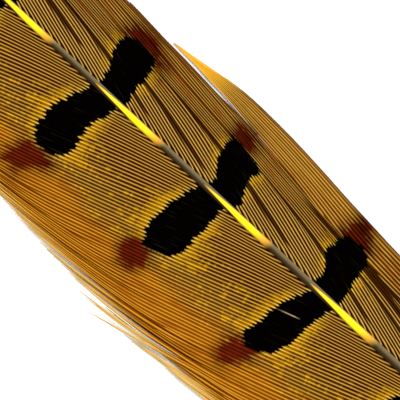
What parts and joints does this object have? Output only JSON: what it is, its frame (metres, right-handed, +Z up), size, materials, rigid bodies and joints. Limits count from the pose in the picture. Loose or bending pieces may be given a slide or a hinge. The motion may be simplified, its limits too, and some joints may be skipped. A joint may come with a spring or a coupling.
{
  "type": "pheasant tail feather",
  "caption": "Long tapering tail feather with a broad and a narrow vane, dark bars, bare quill and downy base, lying flat.",
  "frame": {"origin": "middle of the feather's box, on the surface that it lies on", "axes": "+X along the shaft from the quill to the tip, +Y across the shaft towards the broad vane, +Z up out of the upper side"},
  "size_m": [0.45, 0.0418, 0.0054],
  "materials": {
    "vane": "fine ribbed barbs, golden brown with near-black bars, soft sheen",
    "shaft": "smooth horn, yellow with grey-brown bars, satin",
    "down": "loose grey-buff down, matte"
  },
  "bodies": {
    "root": {"feather": "vane"}
  },
  "joints": []
}
